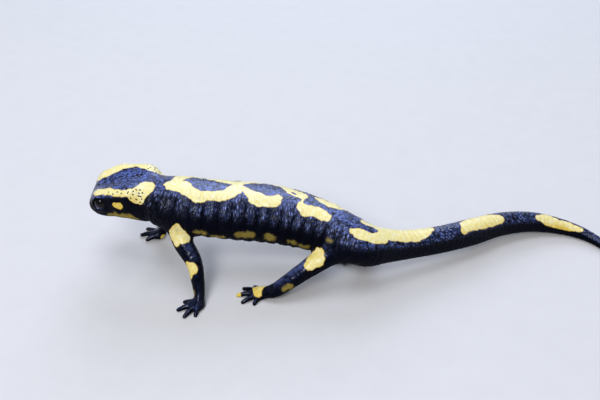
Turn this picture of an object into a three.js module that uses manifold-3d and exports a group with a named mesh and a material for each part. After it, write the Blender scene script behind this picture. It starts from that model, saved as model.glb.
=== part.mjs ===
// A fire salamander (Salamandra salamandra), adult, standing still with its tail swung round.
// Millimetres, +Z up, floor at z = 0. The head points to -X and the animal's left faces -Y.
import * as THREE from 'three';
import { mergeVertices } from 'three/addons/utils/BufferGeometryUtils.js';
import Module from 'manifold-3d';

const wasm = await Module();
wasm.setup();

// ---------------------------------------------------------------- driving sizes

const GAP = 0.3;                       // kept between nodes that meet face to face
const FLOOR = 0;

// Cross-sections from snout to tail tip: centre, half width, height above and below it.
const STATIONS = [
  { name: 'snout',      at: [ -91.8,   9.8, 20.6], half:  5.6, above: 3.9, below: 4.2 },
  { name: 'eyes',       at: [ -85.0,  10.1, 23.4], half:  7.5, above: 5.6, below: 5.0 },
  { name: 'temple',     at: [ -80.1,  10.1, 24.6], half:  9.0, above: 6.0, below: 5.8 },
  { name: 'jaw joint',  at: [ -74.8,   9.1, 25.4], half:  9.6, above: 6.6, below: 6.2 },
  { name: 'nape',       at: [ -69.4,   7.2, 25.6], half:  8.6, above: 7.0, below: 7.6 },
  { name: 'collar',     at: [ -64.9,   5.5, 25.2], half:  9.2, above: 8.1, below: 7.6 },
  { name: 'shoulder',   at: [ -59.6,   4.7, 24.4], half: 10.0, above: 8.9, below: 7.5 },
  { name: 'chest',      at: [ -50.7,   4.6, 23.2], half: 10.2, above: 8.7, below: 8.3 },
  { name: 'midriff',    at: [ -40.9,   5.0, 21.8], half: 10.6, above: 8.8, below: 8.8 },
  { name: 'belly',      at: [ -30.9,   5.1, 20.4], half: 10.5, above: 8.7, below: 8.6 },
  { name: 'loin',       at: [ -21.6,   3.9, 19.0], half:  9.9, above: 8.4, below: 8.5 },
  { name: 'hip',        at: [ -12.6,   1.2, 17.6], half:  8.8, above: 7.8, below: 8.0 },
  { name: 'rump',       at: [  -5.4,  -2.2, 16.4], half:  7.6, above: 7.0, below: 7.6 },
  { name: 'vent',       at: [   0.8,  -3.6, 14.8], half:  6.5, above: 6.2, below: 6.8 },
  { name: 'tail root',  at: [   8.5,  -1.7, 12.0], half:  5.5, above: 5.7, below: 5.2 },
  { name: 'tail 1',     at: [  17.1,   1.2, 10.3], half:  4.7, above: 4.9, below: 4.8 },
  { name: 'tail 2',     at: [  27.3,   5.1,  8.8], half:  4.4, above: 4.9, below: 4.7 },
  { name: 'tail 3',     at: [  38.9,  10.3,  7.6], half:  4.3, above: 5.0, below: 4.9 },
  { name: 'tail 4',     at: [  51.0,  16.3,  6.3], half:  3.9, above: 4.4, below: 4.3 },
  { name: 'tail 5',     at: [  62.9,  19.5,  4.8], half:  3.4, above: 3.7, below: 3.7 },
  { name: 'tail 6',     at: [  74.1,  19.1,  3.0], half:  2.6, above: 2.9, below: 2.9 },
  { name: 'tail 7',     at: [  82.4,  15.6,  2.0], half:  2.0, above: 2.1, below: 2.1 },
  { name: 'tail 8',     at: [  88.1,   9.7,  1.4], half:  1.5, above: 1.5, below: 1.5 },
  { name: 'tail tip',   at: [  91.7,   3.5,  0.9], half:  0.9, above: 0.9, below: 0.95 },
];

const SIDES = 32;                      // facets round the head and trunk
const TAIL_SIDES = 24;                 // and round the tail
const SNOUT_ROUND = { length: 7.5, power: 2.1 };
const SNOUT_RINGS = [0.05, 0.25, 0.6, 1.05, 1.6];
const TIP_ROUND = { length: 1.8, rings: [1.1, 0.5, 0.12] };

// Exponent of the cross-section: nearly an ellipse on the trunk, squarer on the head.
const SECTION_POWER = { trunk: 2.15, head: 2.5, headEnd: 26, blend: 6 };

const COSTAL_SPACING = 4.3;            // from one furrow of the flank to the next

// Lengths of the axis, as distances from the snout: name, end, spacing of the rings.
const LENGTHS = [
  { name: 'head',        end: 24.0, step: 0.8 },
  { name: 'neck',        end: 32.5, step: 1.1 },
  { name: 'torso',       end: 86.0, step: COSTAL_SPACING / 3 },
  { name: 'pelvis',      end: 99.5, step: 1.4 },
  { name: 'tail_base',   end: 125,  step: 2.5 },
  { name: 'tail_middle', end: 150,  step: 2.5 },
  { name: 'tail_rear',   end: 176,  step: 2.5 },
  { name: 'tail_tip',    end: null, step: 2.3 },
];

// Head: lids, eyes, parotoid glands, mouth and nostrils; angles go down from the middle of the back.
const GAZE = { forward: 0.28, up: 0.2 };
const LID_DOME = { distance: 7.7, side: 5.5, height: 3.2, radius: 3.3, length: 3.6 };
const LID_ROOT = { distance: 8.0, angle: 50, height: 2.5, spread: 18, length: 3.0 };
const LID_RIM = { radius: 2.15, thickness: 0.42, forward: 1.3, long: 1.12, high: 0.98 };
const EYE = { radius: 2.4, forward: 1.0 };
const PAROTOID = { from: 8, to: 24.5, ease: 5, angle: 50, height: 2.2, spread: 16 };
const MOUTH = { corner: 14.5, open: 0.36, depth: 0.75, drop: 0.8, sag: 1.3, width: 30, margin: 2 };
const LIP = { from: 0.5, height: 0.35, spread: 7, lift: 8, ease: 3 };
const NOSTRIL = { distance: 1.7, angle: 52, radius: 0.42 };
const GULAR_FOLD = { distance: 25.5, depth: 0.7, length: 1.1, angle: 67.5, blend: 45 };

// Furrows of the flank, and the muscle over the roots of the legs and beside the vent.
const COSTAL = { from: 32.65, to: 87, fade: 4, depth: 0.36, angle: 92, spread: 34 };
const SHOULDER_SWELL = { distance: 37, angle: 105, height: 0.5, spread: 28, length: 4.5 };
const HIP_SWELL = { distance: 92, angle: 100, height: 1.1, spread: 30, length: 4.0 };
const VENT_SWELL = { distance: 99, angle: 180, height: 1.3, spread: 38, length: 3.2 };

// Limbs: joint centres from the root, inside the body, down to the palm or sole, the length of
// body they grow out of, and each digit as its angle from the heading and its length.
const ARM_RADII = [3.3, 3.2, 2.65, 1.85, 1.5];
const LEG_RADII = [3.7, 3.6, 3.0, 2.4, 1.7];
const SHOULDER_ROOT = { from: 24, to: 56, step: 1.5 };
const HIP_ROOT = { from: 66, to: 112, step: 1.5 };
const LIMBS = [
  {
    names: ['upper_arm_left', 'forearm_left', 'hand_left'], root: SHOULDER_ROOT,
    joints: [[-61.9, 1.4, 21.0], [-59.4, -4.3, 16.3], [-55.4, -9.3, 11.4], [-53.8, -14.9, 4.3], [-53.9, -17.7, 1.9]],
    radii: ARM_RADII, heading: 215, digits: [[48, 4.6], [16, 6.6], [-16, 6.9], [-50, 5.0]],
  },
  {
    names: ['upper_arm_right', 'forearm_right', 'hand_right'], root: SHOULDER_ROOT,
    joints: [[-60.9, 7.9, 20.0], [-61.9, 14.7, 16.2], [-64.1, 18.3, 11.2], [-69.5, 17.5, 4.4], [-71.9, 16.8, 1.9]],
    radii: ARM_RADII, heading: 160, digits: [[-50, 4.6], [-16, 6.6], [16, 6.9], [48, 5.0]],
  },
  {
    names: ['thigh_left', 'shin_left', 'foot_left'], root: HIP_ROOT,
    joints: [[-4.9, -4.1, 15.6], [-11.9, -7.8, 13.2], [-19.3, -11.3, 9.9], [-28.6, -14.0, 3.9], [-33.4, -13.1, 1.9]],
    radii: LEG_RADII, heading: 183, digits: [[-56, 4.6], [-27, 6.9], [-2, 8.1], [25, 7.2], [56, 4.8]],
  },
  {
    names: ['thigh_right', 'shin_right', 'foot_right'], root: HIP_ROOT,
    joints: [[-3.4, -0.1, 15.2], [0.1, 4.3, 13.0], [2.3, 7.0, 9.6], [0.7, 6.7, 4.8], [-2.5, 5.6, 1.9]],
    radii: LEG_RADII, heading: 172, digits: [[56, 4.4], [27, 6.6], [2, 7.6], [-25, 7.0], [-56, 4.8]],
  },
];
const ELBOW = 0.5;                     // places along a limb, from 0 to 1
const WRIST = 0.75;
const LIMB_SIDES = 12;
const PALM = { length: 2.7, width: 2.5, thick: 1.25, sunk: 0.12, ahead: 0.8 };
const DIGIT = { start: 0.8, root: 0.95, knuckle: 0.87, tip: 0.6, arch: 0.22, sunk: 0.08, sides: 7, steps: 5 };

const BLACK_SKIN = 0x14151b;
const EYE_BLACK = 0x050507;

// ---------------------------------------------------------------- the axis and the skin round it

const UP = new THREE.Vector3(0, 0, 1);
const centreLine = new THREE.CatmullRomCurve3(
  STATIONS.map(({ at }) => new THREE.Vector3(...at)), false, 'catmullrom', 0.5);
centreLine.arcLengthDivisions = 1200;
const sectionSizes = new THREE.CatmullRomCurve3(
  STATIONS.map(({ half, above, below }) => new THREE.Vector3(half, above, below)),
  false, 'catmullrom', 0.5);
const BODY_LENGTH = centreLine.getLength();

const bell = (offset, spread) => Math.exp(-0.5 * (offset / spread) ** 2);
const clamp01 = (value) => Math.min(Math.max(value, 0), 1);

function between(distance, from, to, ease) {
  const rise = clamp01((distance - from) / ease) * clamp01((to - distance) / ease);
  return rise * rise * (3 - 2 * rise);
}

// Centre, tangent and the two cross directions at a distance from the snout.
function frameAt(distance) {
  const along = centreLine.getUtoTmapping(clamp01(distance / BODY_LENGTH));
  const tangent = centreLine.getTangent(along);
  const side = new THREE.Vector3().crossVectors(tangent, UP).normalize();
  const up = new THREE.Vector3().crossVectors(side, tangent);
  const centre = centreLine.getPoint(along).addScaledVector(tangent, Math.min(distance, 0));
  return { along, tangent, side, up, centre };
}

// A swelling centred at a distance and at an angle down from the middle of the back.
function swelling(swell, distance, angle) {
  return swell.height * bell(distance - swell.distance, swell.length) * bell(angle - swell.angle, swell.spread);
}

// Height of the mouth line from the centre line, and the angle at which it meets the skin.
function mouthHeight(distance) {
  return -MOUTH.drop - MOUTH.sag * clamp01(distance / MOUTH.corner) ** 3;
}

function mouthAngle(distance) {
  const { half } = STATIONS.find(({ name }) => name === 'eyes');
  return 90 + THREE.MathUtils.radToDeg(Math.atan2(-mouthHeight(distance), half));
}

// Radius of the skin at a distance from the snout; turn is the angle from the back, to the left.
function skinRadius(distance, turn) {
  const { along } = frameAt(distance);
  const size = sectionSizes.getPoint(along);
  const fromBack = Math.abs(THREE.MathUtils.radToDeg(Math.atan2(Math.sin(turn), Math.cos(turn))));
  const power = SECTION_POWER.trunk + (SECTION_POWER.head - SECTION_POWER.trunk)
    * clamp01((SECTION_POWER.headEnd - distance) / SECTION_POWER.blend);
  const height = Math.cos(turn) > 0 ? size.y : size.z;
  const section = ((Math.abs(Math.sin(turn)) / size.x) ** power
    + (Math.abs(Math.cos(turn)) / height) ** power) ** (-1 / power);
  const snout = (1 - clamp01(1 - distance / SNOUT_ROUND.length) ** SNOUT_ROUND.power)
    ** (1 / SNOUT_ROUND.power);
  const tip = Math.sqrt(1 - clamp01(1 - (BODY_LENGTH - distance) / TIP_ROUND.length) ** 2);

  let relief = swelling(LID_ROOT, distance, fromBack);
  relief += PAROTOID.height * between(distance, PAROTOID.from, PAROTOID.to, PAROTOID.ease)
    * bell(fromBack - PAROTOID.angle, PAROTOID.spread);
  relief += LIP.height * between(distance, LIP.from, MOUTH.corner + MOUTH.margin, LIP.ease)
    * bell(fromBack - (mouthAngle(distance) - LIP.lift), LIP.spread);
  relief -= GULAR_FOLD.depth * bell(distance - GULAR_FOLD.distance, GULAR_FOLD.length)
    * clamp01((fromBack - GULAR_FOLD.angle) / GULAR_FOLD.blend);
  relief -= COSTAL.depth * between(distance, COSTAL.from + COSTAL.fade, COSTAL.to, COSTAL.fade)
    * bell(fromBack - COSTAL.angle, COSTAL.spread)
    * Math.cos(2 * Math.PI * (distance - COSTAL.from) / COSTAL_SPACING);
  relief += swelling(SHOULDER_SWELL, distance, fromBack);
  relief += swelling(HIP_SWELL, distance, fromBack);
  relief += swelling(VENT_SWELL, distance, fromBack);
  return (section * snout + relief * snout) * tip;
}

function skinPoint(distance, turn, grow = 0) {
  const { centre, side, up } = frameAt(distance);
  const radius = skinRadius(distance, turn) + grow;
  const point = centre.clone()
    .addScaledVector(side, radius * Math.sin(turn))
    .addScaledVector(up, radius * Math.cos(turn));
  point.z = Math.max(point.z, FLOOR);
  return point;
}

// ---------------------------------------------------------------- closed lofts and booleans

// Rings of points joined in order, closed by a fan to a point at each end.
function loft(rings, first, last) {
  const sides = rings[0].length;
  const points = [first, ...rings.flat(), last];
  const at = (ring, side) => 1 + ring * sides + (side % sides);
  const index = [];
  for (let side = 0; side < sides; side++) {
    index.push(0, at(0, side + 1), at(0, side));
    for (let ring = 0; ring < rings.length - 1; ring++) {
      index.push(at(ring, side), at(ring, side + 1), at(ring + 1, side));
      index.push(at(ring, side + 1), at(ring + 1, side + 1), at(ring + 1, side));
    }
    index.push(at(rings.length - 1, side), at(rings.length - 1, side + 1), points.length - 1);
  }
  const geometry = new THREE.BufferGeometry().setFromPoints(points);
  geometry.setIndex(index);
  return geometry;
}

function toSolid(geometry) {
  const bare = geometry.clone();
  bare.deleteAttribute('normal');
  bare.deleteAttribute('uv');
  const merged = mergeVertices(bare, 1e-4);
  return new wasm.Manifold(new wasm.Mesh({
    numProp: 3,
    vertProperties: Float32Array.from(merged.attributes.position.array),
    triVerts: Uint32Array.from(merged.index.array),
  }));
}

// The largest closed surface of a solid, as a geometry.
function toGeometry(solid) {
  const pieces = solid.decompose().sort((a, b) => b.volume() - a.volume());
  const mesh = pieces[0].getMesh();
  const geometry = new THREE.BufferGeometry();
  geometry.setAttribute('position', new THREE.BufferAttribute(Float32Array.from(mesh.vertProperties), 3));
  geometry.setIndex(new THREE.BufferAttribute(Uint32Array.from(mesh.triVerts), 1));
  return geometry;
}

function ringAt(distance, sides, grow) {
  return Array.from({ length: sides }, (_, side) => skinPoint(distance, 2 * Math.PI * side / sides, grow));
}

// One length of the head, trunk or tail, with flat ends, or rounded off at snout and tail tip.
function bodyLength(from, to, step, grow = 0, sides = SIDES) {
  const count = Math.max(Math.round((to - from) / step), 2);
  const distances = [];
  for (let ring = 0; ring <= count; ring++) distances.push(from + (to - from) * ring / count);
  if (from === 0) distances.splice(0, 3, ...SNOUT_RINGS);
  if (to === BODY_LENGTH) distances.splice(-1, 1, ...TIP_ROUND.rings.map((before) => to - before));
  const rings = distances.map((distance) => ringAt(distance, sides, grow));
  return loft(rings, frameAt(from).centre, frameAt(to).centre);
}

// ---------------------------------------------------------------- head

function gaze(leftOrRight) {
  const { tangent, side, up } = frameAt(LID_DOME.distance);
  return side.clone().multiplyScalar(leftOrRight)
    .addScaledVector(tangent, -GAZE.forward).addScaledVector(up, GAZE.up).normalize();
}

// A point in front of the middle of the lid dome, along the gaze.
function beforeLid(leftOrRight, forward) {
  const { centre, side, up } = frameAt(LID_DOME.distance);
  return centre.clone()
    .addScaledVector(side, leftOrRight * LID_DOME.side)
    .addScaledVector(up, LID_DOME.height)
    .addScaledVector(gaze(leftOrRight), forward);
}

function eyeball(leftOrRight, grow = 0) {
  const geometry = new THREE.SphereGeometry(EYE.radius + grow, 18, 12);
  geometry.translate(...beforeLid(leftOrRight, EYE.forward).toArray());
  return geometry;
}

// The lids as one dome over the eye, longer along the head than it is wide.
function lidDome(leftOrRight) {
  const { tangent, side, up } = frameAt(LID_DOME.distance);
  const geometry = new THREE.SphereGeometry(LID_DOME.radius, 16, 12);
  geometry.scale(LID_DOME.length / LID_DOME.radius, 1, 1);
  geometry.applyMatrix4(new THREE.Matrix4().makeBasis(tangent, side.negate(), up));
  geometry.translate(...beforeLid(leftOrRight, 0).toArray());
  return geometry;
}

// The rim of both lids: a ring, longer than high, that lies round the eye across its gaze.
function lidRim(leftOrRight) {
  const geometry = new THREE.TorusGeometry(LID_RIM.radius, LID_RIM.thickness, 6, 18);
  geometry.scale(LID_RIM.long, LID_RIM.high, 1);
  geometry.applyMatrix4(new THREE.Matrix4().lookAt(gaze(leftOrRight), new THREE.Vector3(), UP));
  geometry.translate(...beforeLid(leftOrRight, EYE.forward + LID_RIM.forward).toArray());
  return geometry;
}

// A thin sheet along the mouth line, which the inner head is later taken out of.
function mouthSheet() {
  const reach = MOUTH.corner + 2 * MOUTH.margin;
  const geometry = new THREE.BoxGeometry(reach, MOUTH.width, MOUTH.open, 10, 1, 1);
  const place = geometry.attributes.position;
  for (let vertex = 0; vertex < place.count; vertex++) {
    const distance = place.getX(vertex) + MOUTH.corner - reach / 2;
    const { centre, side, up } = frameAt(distance);
    const point = centre.clone()
      .addScaledVector(side, -place.getY(vertex))
      .addScaledVector(up, mouthHeight(distance) + place.getZ(vertex));
    place.setXYZ(vertex, point.x, point.y, point.z);
  }
  return geometry;
}

function mouthCut() {
  const from = 1.0;
  const to = MOUTH.corner + MOUTH.margin;
  const steps = 10;
  const rings = Array.from({ length: steps + 1 }, (_, ring) => (
    ringAt(from + (to - from) * ring / steps, SIDES, -MOUTH.depth)));
  const inner = loft(rings, frameAt(from).centre, frameAt(to).centre);
  return toSolid(mouthSheet()).subtract(toSolid(inner));
}

function nostril(leftOrRight) {
  const turn = leftOrRight * THREE.MathUtils.degToRad(NOSTRIL.angle);
  const geometry = new THREE.SphereGeometry(NOSTRIL.radius, 8, 6);
  geometry.translate(...skinPoint(NOSTRIL.distance, turn).toArray());
  return geometry;
}

function head({ end, step }) {
  let solid = toSolid(bodyLength(0, end - GAP / 2, step));
  for (const leftOrRight of [1, -1]) {
    solid = solid.add(toSolid(lidDome(leftOrRight))).add(toSolid(lidRim(leftOrRight)));
    solid = solid.subtract(toSolid(eyeball(leftOrRight, GAP)));
    solid = solid.subtract(toSolid(nostril(leftOrRight)));
  }
  return toGeometry(solid.subtract(mouthCut()));
}

// ---------------------------------------------------------------- limbs

// A round tube of changing radius along a curve; from and to run from 0 to 1. The cross
// directions hang from one fixed vector that no limb or digit lies along.
const ACROSS = new THREE.Vector3(0.31, 0.2, 0.93);

function tube({ points, radii, from = 0, to = 1, steps, sides, grow = 0, rounded = false }) {
  const curve = new THREE.CatmullRomCurve3(points, false, 'catmullrom', 0.5);
  const sizes = new THREE.CatmullRomCurve3(
    radii.map((radius) => new THREE.Vector3(radius, 0, 0)), false, 'catmullrom', 0.5);
  const places = [];
  for (let ring = 0; ring <= steps; ring++) places.push(from + (to - from) * ring / steps);
  const rings = places.map((along, ring) => {
    const tangent = curve.getTangent(along);
    const first = new THREE.Vector3().crossVectors(ACROSS, tangent).normalize();
    const second = new THREE.Vector3().crossVectors(tangent, first);
    const stretch = ring === 0 ? -grow : (ring === steps ? grow : 0);
    const centre = curve.getPoint(along).addScaledVector(tangent, stretch);
    const towardsEnd = clamp01((ring - steps + 2) / 2.15);
    const radius = (sizes.getPoint(along).x + grow) * (rounded ? Math.sqrt(1 - towardsEnd ** 2) : 1);
    return Array.from({ length: sides }, (_, side) => {
      const turn = 2 * Math.PI * side / sides;
      const point = centre.clone()
        .addScaledVector(first, radius * Math.cos(turn))
        .addScaledVector(second, radius * Math.sin(turn));
      point.z = Math.max(point.z, FLOOR);
      return point;
    });
  });
  const ends = [0, steps].map((ring) => rings[ring]
    .reduce((sum, point) => sum.add(point), new THREE.Vector3()).divideScalar(sides));
  return loft(rings, ends[0], ends[1]);
}

// Palm or sole with its digits, spread round the heading, flat where it meets the floor.
function extremity({ joints, radii, heading, digits }) {
  const palmCentre = new THREE.Vector3(...joints.at(-1));
  const forward = THREE.MathUtils.degToRad(heading);
  const palm = new THREE.SphereGeometry(1, 12, 8);
  palm.scale(PALM.length, PALM.width, PALM.thick);
  palm.rotateZ(forward);
  palm.translate(
    palmCentre.x + PALM.ahead * Math.cos(forward),
    palmCentre.y + PALM.ahead * Math.sin(forward),
    PALM.thick - PALM.sunk,
  );
  const place = palm.attributes.position;
  for (let vertex = 0; vertex < place.count; vertex++) {
    place.setZ(vertex, Math.max(place.getZ(vertex), FLOOR));
  }
  const ankle = joints.map((joint) => new THREE.Vector3(...joint));
  let solid = toSolid(palm).add(toSolid(tube({
    points: ankle, radii, from: WRIST, to: 0.985, steps: 3, sides: LIMB_SIDES, rounded: true,
  })));
  for (const [spread, length] of digits) {
    const direction = forward + THREE.MathUtils.degToRad(spread);
    const along = (reach, height) => new THREE.Vector3(
      palmCentre.x + reach * Math.cos(direction), palmCentre.y + reach * Math.sin(direction), height);
    solid = solid.add(toSolid(tube({
      points: [
        along(DIGIT.start, PALM.thick),
        along(length * 0.55, DIGIT.root + DIGIT.arch),
        along(length, DIGIT.tip - DIGIT.sunk),
      ],
      radii: [DIGIT.root, DIGIT.knuckle, DIGIT.tip],
      steps: DIGIT.steps,
      sides: DIGIT.sides,
      rounded: true,
    })));
  }
  return solid;
}

// Three nodes: to the elbow or knee, to the wrist or ankle, and the hand or foot. Each is cut
// back by its neighbour grown by the gap.
function limb(description) {
  const { names, joints, radii, root } = description;
  const points = joints.map((joint) => new THREE.Vector3(...joint));
  const piece = (from, to, steps, grow = 0) => toSolid(tube({
    points, radii, from, to, steps, sides: LIMB_SIDES, grow,
  }));
  const nearBody = toSolid(bodyLength(root.from, root.to, root.step, GAP));
  const upper = piece(0, ELBOW, 8).subtract(nearBody);
  const lower = piece(ELBOW, WRIST, 6).subtract(piece(0, ELBOW, 9, GAP));
  const end = extremity(description).subtract(piece(ELBOW, WRIST, 6, GAP));
  return [upper, lower, end].map((solid, part) => [names[part], toGeometry(solid)]);
}

// ---------------------------------------------------------------- the whole animal

const model = new THREE.Group();
model.name = 'fire_salamander';

function addNode(name, geometry, color, roughness) {
  const material = new THREE.MeshStandardMaterial({ color, roughness, metalness: 0 });
  const mesh = new THREE.Mesh(geometry, material);
  mesh.name = name;
  model.add(mesh);
}

let start = 0;
for (const length of LENGTHS) {
  const end = length.end ?? BODY_LENGTH;
  const geometry = length.name === 'head'
    ? head(length)
    : bodyLength(start + GAP / 2, length.end ? end - GAP / 2 : end, length.step, 0,
      length.name.startsWith('tail') ? TAIL_SIDES : SIDES);
  addNode(length.name, geometry, BLACK_SKIN, 0.32);
  start = end;
}
for (const [name, leftOrRight] of [['eye_left', 1], ['eye_right', -1]]) {
  addNode(name, toGeometry(toSolid(eyeball(leftOrRight))), EYE_BLACK, 0.08);
}
for (const description of LIMBS) {
  for (const [name, geometry] of limb(description)) addNode(name, geometry, BLACK_SKIN, 0.32);
}

// The origin is under the middle of the animal, on the floor.
const bounds = new THREE.Box3().setFromObject(model);
const middle = bounds.getCenter(new THREE.Vector3());
model.position.set(-middle.x, -middle.y, -bounds.min.z);

export default model;
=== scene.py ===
"""A fire salamander standing on the floor, a life-size museum model.

Its lengths are in millimetres. Those of the floor and the lamps are in metres.
"""

import math

import bmesh
import bpy
import numpy as np
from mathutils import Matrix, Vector


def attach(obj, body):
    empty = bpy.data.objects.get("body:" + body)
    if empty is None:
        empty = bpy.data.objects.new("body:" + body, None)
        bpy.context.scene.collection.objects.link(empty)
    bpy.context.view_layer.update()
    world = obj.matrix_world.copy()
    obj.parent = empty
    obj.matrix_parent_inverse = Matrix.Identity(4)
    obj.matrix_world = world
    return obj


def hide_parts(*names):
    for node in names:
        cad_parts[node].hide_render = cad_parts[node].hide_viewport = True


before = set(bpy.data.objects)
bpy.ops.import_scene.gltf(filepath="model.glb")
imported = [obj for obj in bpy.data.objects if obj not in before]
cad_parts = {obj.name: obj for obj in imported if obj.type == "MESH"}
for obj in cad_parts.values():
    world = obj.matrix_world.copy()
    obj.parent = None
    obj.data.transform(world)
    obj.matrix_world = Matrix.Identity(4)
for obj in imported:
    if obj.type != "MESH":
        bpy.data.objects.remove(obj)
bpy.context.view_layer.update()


# ---------------------------------------------------------------- the floor, the light and the camera
# A seamless sheet of pale card under three soft lamps and a pale room. The camera looks down
# on the animal's left side.

MM = 0.001                                       # a millimetre, in the scene's metres


def linear(colour):
    """An sRGB hex colour as linear red, green, blue and alpha."""
    parts = [int(colour[place:place + 2], 16) / 255 for place in (1, 3, 5)]
    return [part / 12.92 if part <= 0.04045 else ((part + 0.055) / 1.055) ** 2.4 for part in parts] + [1.0]


def add_node(tree, kind, settings, inputs, output=0):
    """Adds a node. An input is a number, a hex colour or the output of another node."""
    node = tree.nodes.new(kind)
    for name, value in settings.items():
        setattr(node, name, value)
    for socket, value in inputs.items():
        if isinstance(value, bpy.types.NodeSocket):
            tree.links.new(value, node.inputs[socket])
        else:
            node.inputs[socket].default_value = linear(value) if isinstance(value, str) else value
    return node.outputs[output] if node.outputs else node


def new_material(name):
    """A material with an empty node tree."""
    material = bpy.data.materials.new(name)
    material.use_nodes = True
    material.node_tree.nodes.clear()
    return material, material.node_tree


def scale_for(size):
    """The scale of a pattern whose marks are a number of millimetres across."""
    return 1 / (size * MM)


# Matt card: dull, with the faintest mottle of its fibres, drawn at about a millimetre.
COLOURS = {"data_type": "RGBA"}
pale_card, tree = new_material("matt pale card")
fibres = add_node(tree, "ShaderNodeTexNoise", {}, {"Scale": scale_for(1.1), "Detail": 3.0})
card_colour = add_node(tree, "ShaderNodeMix", COLOURS, {"Factor": fibres, 6: "#d6d1c8", 7: "#dcd7ce"}, 2)
card = add_node(tree, "ShaderNodeBsdfPrincipled", {}, {
    "Base Color": card_colour, "Roughness": 0.9, "Specular IOR Level": 0.2})
add_node(tree, "ShaderNodeOutputMaterial", {}, {"Surface": card})

FLOOR_HALF = 3.0
FLOOR_CORNERS = [(x * FLOOR_HALF, y * FLOOR_HALF, 0) for x, y in ((-1, -1), (1, -1), (1, 1), (-1, 1))]
floor_mesh = bpy.data.meshes.new("floor")
floor_mesh.from_pydata(FLOOR_CORNERS, [], [(0, 1, 2, 3)])
floor_mesh.materials.append(pale_card)
floor = bpy.data.objects.new("floor", floor_mesh)
bpy.context.scene.collection.objects.link(floor)

room = bpy.data.worlds.new("pale room")
bpy.context.scene.world = room
room.use_nodes = True
room_light = room.node_tree.nodes["Background"].inputs
room_light["Color"].default_value = linear("#dfe6f2")
room_light["Strength"].default_value = 0.3


LAMP_AIM = Vector((0, 0, 0.01))                  # the middle of the animal


def lamp(name, place, size, power, colour):
    """A soft square lamp that faces the animal."""
    light = bpy.data.lights.new(name, "AREA")
    light.shape = "SQUARE"
    light.size = size
    light.energy = power
    light.color = linear(colour)[:3]
    holder = bpy.data.objects.new(name, light)
    holder.location = place
    holder.rotation_euler = (LAMP_AIM - Vector(place)).to_track_quat("-Z", "Y").to_euler()
    bpy.context.scene.collection.objects.link(holder)


lamp("back lamp", (0.05, 0.75, 0.6), 0.6, 6.0, "#cddcff")
lamp("overhead lamp", (-0.1, 0.05, 0.9), 0.5, 4.0, "#dbe5ff")
lamp("front lamp", (-0.25, -0.6, 0.7), 0.35, 4.8, "#f0f3ff")
bpy.context.scene.view_settings.view_transform = "Standard"

VIEW_ANGLE = math.radians(38)                    # the camera looks down by this angle
VIEW_TARGET = Vector((-20.9, 14.9, 18.5))
VIEW_DISTANCE = 243.0
camera_data = bpy.data.cameras.new("camera")
camera_data.sensor_width = 36
camera_data.lens = 42
camera_data.clip_start = 0.01
camera = bpy.data.objects.new("camera", camera_data)
camera.rotation_euler = (math.pi / 2 - VIEW_ANGLE, 0, 0)
view_way = Vector((0, -math.cos(VIEW_ANGLE), math.sin(VIEW_ANGLE)))
camera.location = MM * (VIEW_TARGET + VIEW_DISTANCE * view_way)
bpy.context.scene.collection.objects.link(camera)
bpy.context.scene.camera = camera


# ---------------------------------------------------------------- skin: the form of head, trunk and tail
# The animal is cast in one piece of silicone rubber, so its skin has no seam. Cross-sections from
# snout to tail tip give its form: the centre, the half width, and the height above and below
# the centre.

AXIS = np.array([
    [-91.8, 9.8, 20.6, 5.6, 3.9, 4.2],          # snout
    [-85.0, 10.1, 23.4, 7.5, 5.6, 5.0],         # eyes
    [-80.1, 10.1, 24.6, 9.0, 6.0, 5.8],
    [-74.8, 9.1, 25.4, 9.6, 6.6, 6.2],          # jaw joint
    [-69.4, 7.2, 25.6, 8.6, 7.0, 7.6],
    [-64.9, 5.5, 25.2, 9.2, 8.1, 7.6],          # collar
    [-59.6, 4.7, 24.4, 10.0, 8.9, 7.5],
    [-50.7, 4.6, 23.2, 10.2, 8.7, 8.3],
    [-40.9, 5.0, 21.8, 10.6, 8.8, 8.8],         # middle of the trunk
    [-30.9, 5.1, 20.4, 10.5, 8.7, 8.6],
    [-21.6, 3.9, 19.0, 9.9, 8.4, 8.5],
    [-12.6, 1.2, 17.6, 8.8, 7.8, 8.0],          # hips
    [-5.4, -2.2, 16.4, 7.6, 7.0, 7.6],
    [0.8, -3.6, 14.8, 6.5, 6.2, 6.8],           # vent
    [8.5, -1.7, 12.0, 5.5, 5.7, 5.2],
    [17.1, 1.2, 10.3, 4.7, 4.9, 4.8],
    [27.3, 5.1, 8.8, 4.4, 4.9, 4.7],
    [38.9, 10.3, 7.6, 4.3, 5.0, 4.9],           # middle of the tail
    [51.0, 16.3, 6.3, 3.9, 4.4, 4.3],
    [62.9, 19.5, 4.8, 3.4, 3.7, 3.7],
    [74.1, 19.1, 3.0, 2.6, 2.9, 2.9],
    [82.4, 15.6, 2.0, 2.0, 2.1, 2.1],
    [88.1, 9.7, 1.4, 1.5, 1.5, 1.5],
    [91.7, 3.5, 0.9, 0.9, 0.9, 0.95],           # tip of the tail
])
SNOUT_ROUND = 7.5                                # length of the rounded end of the snout
TIP_ROUND = 1.8                                  # and of the tail
END_POWER = 2.1                                  # how full both round ends are; an egg's is 2


def smooth_through(points, places):
    """A smooth curve through the points, at places counted in points from 0."""
    padded = np.vstack([2 * points[0] - points[1], points, 2 * points[-1] - points[-2]])
    places = np.clip(places, 0, len(points) - 1 - 1e-9)
    step = places.astype(int)
    part = (places - step)[:, None]
    before, start, end, after = (padded[step + offset] for offset in range(4))
    return 0.5 * (2 * start + (end - before) * part
                  + (2 * before - 5 * start + 4 * end - after) * part ** 2
                  + (3 * start - before - 3 * end + after) * part ** 3)


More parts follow.
